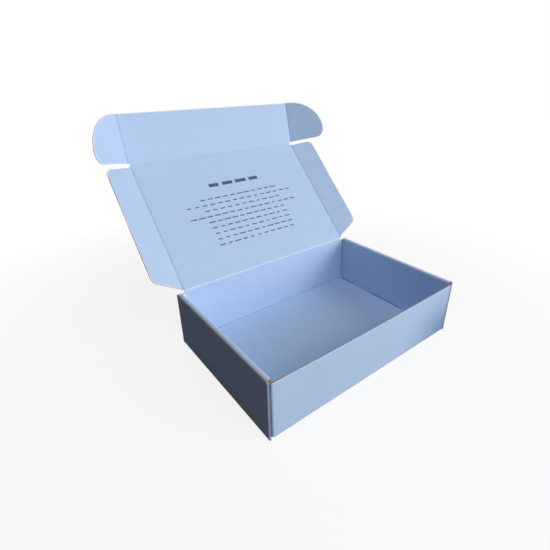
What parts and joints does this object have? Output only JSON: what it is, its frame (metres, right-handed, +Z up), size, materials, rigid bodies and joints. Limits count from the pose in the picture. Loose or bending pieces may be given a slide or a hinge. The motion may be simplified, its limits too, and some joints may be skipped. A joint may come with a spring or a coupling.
{
  "type": "mailer box",
  "caption": "Open corrugated mailer box with rolled side walls, locking tabs in the floor, and a hinged lid with dust flaps, a tuck flap and rounded ears.",
  "frame": {"origin": "middle of the tray's underside, on the surface that it stands on", "axes": "+X along the lid's hinge, +Y from the front wall to the back wall that carries the lid, +Z up"},
  "size_m": [0.3398, 0.3144, 0.2519],
  "materials": {
    "board": "matt pale blue printed paper liner over kraft corrugated board"
  },
  "bodies": {
    "tray": {"tray": "board"},
    "lid": {"lid": "board"},
    "tuck_flap": {"tuck_flap": "board"},
    "left_ear": {"left_ear": "board"},
    "right_ear": {"right_ear": "board"},
    "left_dust_flap": {"left_dust_flap": "board"},
    "right_dust_flap": {"right_dust_flap": "board"}
  },
  "joints": [
    {"name": "lid_crease", "type": "hinge", "parent": "tray", "child": "lid", "pos_m": [0, 0.08825, 0.069], "axis": [1, 0, 0], "range_deg": [-45, 109]},
    {"name": "tuck_flap_crease", "type": "hinge", "parent": "lid", "child": "tuck_flap", "pos_m": [0, 0.21093, 0.19168], "axis": [1, 0, 0], "range_deg": [-32, 30]},
    {"name": "left_dust_flap_crease", "type": "hinge", "parent": "lid", "child": "left_dust_flap", "pos_m": [-0.1263, 0.08825, 0.069], "axis": [0, 0.7071, 0.7071], "range_deg": [-18, 72]},
    {"name": "right_dust_flap_crease", "type": "hinge", "parent": "lid", "child": "right_dust_flap", "pos_m": [0.1263, 0.08825, 0.069], "axis": [0, -0.7071, -0.7071], "range_deg": [-21, 69]},
    {"name": "left_ear_crease", "type": "hinge", "parent": "tuck_flap", "child": "left_ear", "pos_m": [-0.1281, 0.21093, 0.19168], "axis": [0, 0.225, 0.9744], "range_deg": [-40, 50]},
    {"name": "right_ear_crease", "type": "hinge", "parent": "tuck_flap", "child": "right_ear", "pos_m": [0.1281, 0.21093, 0.19168], "axis": [0, -0.225, -0.9744], "range_deg": [-40, 50]}
  ]
}
